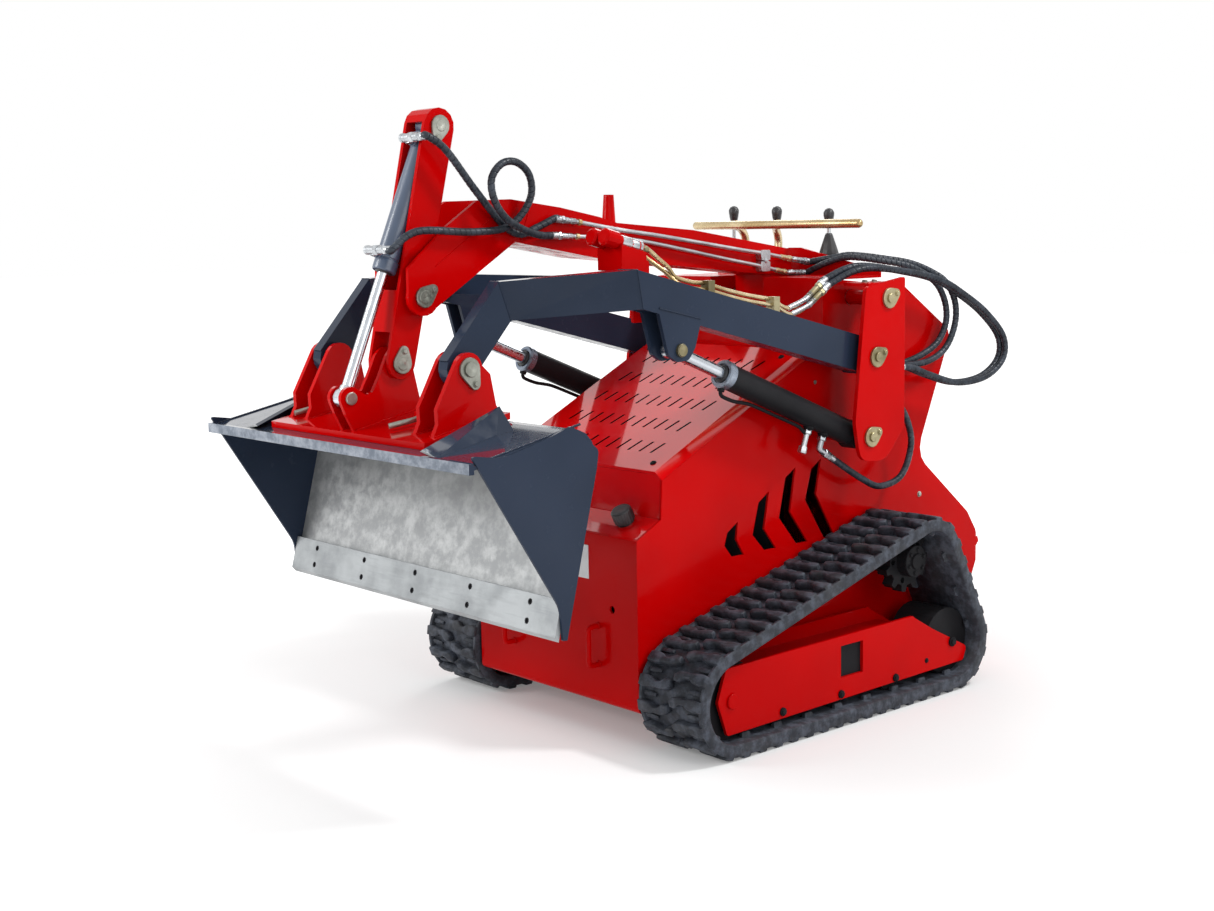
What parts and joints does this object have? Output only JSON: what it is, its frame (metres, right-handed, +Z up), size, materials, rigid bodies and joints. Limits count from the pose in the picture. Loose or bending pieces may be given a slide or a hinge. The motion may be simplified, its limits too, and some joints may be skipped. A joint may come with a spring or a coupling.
{
  "type": "mini skid steer loader",
  "caption": "Compact loader on rubber tracks with twin lift arms, a levelling boom, a quick attach plate and a bucket.",
  "frame": {"origin": "on the ground under the middle of the length and width of the whole machine as stored", "axes": "+Z up, -Y towards the bucket, +X the machine's left side"},
  "size_m": [1, 1.9104, 1.419],
  "materials": {
    "bare_steel": "bare rolled steel",
    "black_paint": "gloss black enamel",
    "black_plastic": "satin black plastic",
    "chrome": "hard chrome plating",
    "label_white": "blank white foil",
    "red_paint": "gloss bright red enamel",
    "rubber": "matt black rubber",
    "slate_paint": "satin slate blue-grey enamel",
    "zinc": "yellow zinc plating"
  },
  "bodies": {
    "chassis": {"arm_hose_1": "red_paint", "arm_hose_2": "red_paint", "blank_label": "label_white", "bonnet": "red_paint", "boom_hose_1": "red_paint", "boom_hose_2": "red_paint", "boom_pivot_shaft": "bare_steel", "chassis_tub": "red_paint", "console": "red_paint", "control_levers": "black_plastic", "engine_block": "black_paint", "filler_cap": "black_plastic", "front_idler_left": "black_paint", "front_idler_right": "black_paint", "handle_bar": "zinc", "nose_panel": "red_paint", "post_left": "red_paint", "post_right": "red_paint", "rear_cover": "red_paint", "rear_idler_left": "black_paint", "rear_idler_right": "black_paint", "rear_step": "red_paint", "roller_1_left": "black_paint", "roller_1_right": "black_paint", "roller_2_left": "black_paint", "roller_2_right": "black_paint", "roller_3_left": "black_paint", "roller_3_right": "black_paint", "sprocket_left": "black_paint", "sprocket_right": "black_paint", "tow_loop_left": "red_paint", "tow_loop_right": "red_paint", "track_frame_left": "red_paint", "track_frame_right": "red_paint", "track_left": "rubber", "track_right": "rubber"},
    "arms": {"loader_arms": "slate_paint", "coupler_bracket": "red_paint", "arm_pipes": "zinc"},
    "boom": {"boom": "red_paint", "boom_pipes": "bare_steel"},
    "mast": {"mast": "red_paint", "tilt_hose_upper": "red_paint", "tilt_hose_lower": "red_paint"},
    "tool": {"quick_attach": "red_paint", "lock_handle_left": "zinc", "lock_handle_right": "zinc", "bucket": "slate_paint", "cutting_edge": "bare_steel"},
    "tilt_barrel": {"tilt_barrel": "slate_paint"},
    "tilt_rod": {"tilt_rod": "chrome"},
    "lift_barrel_left": {"lift_barrel_left": "black_paint", "lift_hose_left": "red_paint"},
    "lift_rod_left": {"lift_rod_left": "chrome"},
    "lift_barrel_right": {"lift_barrel_right": "black_paint", "lift_hose_right": "red_paint"},
    "lift_rod_right": {"lift_rod_right": "chrome"}
  },
  "joints": [
    {"name": "lift", "type": "hinge", "parent": "chassis", "child": "arms", "pos_m": [0, 0.3225, 0.843], "axis": [-1, 0, 0], "range_deg": [-38, 46], "deforming": ["arm_hose_1", "arm_hose_2"]},
    {"name": "boom_swing", "type": "hinge", "parent": "chassis", "child": "boom", "pos_m": [0, 0.3675, 0.981], "axis": [-1, 0, 0], "range_deg": [-39, 47], "deforming": ["boom_hose_1", "boom_hose_2"]},
    {"name": "mast_level", "type": "hinge", "parent": "boom", "child": "mast", "pos_m": [0, -0.7375, 1.023], "axis": [-1, 0, 0], "range_deg": [-47, 39], "deforming": ["tilt_hose_upper", "tilt_hose_lower"]},
    {"name": "tilt", "type": "hinge", "parent": "mast", "child": "tool", "pos_m": [0, -0.7825, 0.885], "axis": [1, 0, 0], "range_deg": [-100, 0]},
    {"name": "tilt_barrel_swing", "type": "hinge", "parent": "mast", "child": "tilt_barrel", "pos_m": [0, -0.6655, 1.381], "axis": [1, 0, 0], "range_deg": [-3, 3]},
    {"name": "tilt_rod_slide", "type": "slide", "parent": "tilt_barrel", "child": "tilt_rod", "axis": [0, -0.3903, -0.9207], "range_m": [-0.2127, 0.002]},
    {"name": "lift_barrel_swing_left", "type": "hinge", "parent": "chassis", "child": "lift_barrel_left", "pos_m": [0.3525, 0.3035, 0.653], "axis": [-1, 0, 0], "range_deg": [-36, 43], "deforming": ["lift_hose_left"]},
    {"name": "lift_rod_slide_left", "type": "slide", "parent": "lift_barrel_left", "child": "lift_rod_left", "axis": [0, -0.9266, 0.3762], "range_m": [-0.1128, 0.1361]},
    {"name": "lift_barrel_swing_right", "type": "hinge", "parent": "chassis", "child": "lift_barrel_right", "pos_m": [-0.3525, 0.3035, 0.653], "axis": [-1, 0, 0], "range_deg": [-36, 43], "deforming": ["lift_hose_right"]},
    {"name": "lift_rod_slide_right", "type": "slide", "parent": "lift_barrel_right", "child": "lift_rod_right", "axis": [0, -0.9266, 0.3762], "range_m": [-0.1128, 0.1361]}
  ],
  "couplings": [
    {"joint": "boom_swing", "follows": "lift", "ratio": 1},
    {"joint": "mast_level", "follows": "lift", "ratio": -1},
    {"joint": "tilt_barrel_swing", "follows": "tilt", "ratio": 0.0073},
    {"joint": "tilt_rod_slide", "follows": "tilt", "m_per_rad": 0.1207},
    {"joint": "lift_barrel_swing_left", "follows": "lift", "ratio": 0.922},
    {"joint": "lift_rod_slide_left", "follows": "lift", "m_per_rad": 0.167},
    {"joint": "lift_barrel_swing_right", "follows": "lift", "ratio": 0.922},
    {"joint": "lift_rod_slide_right", "follows": "lift", "m_per_rad": 0.167}
  ]
}
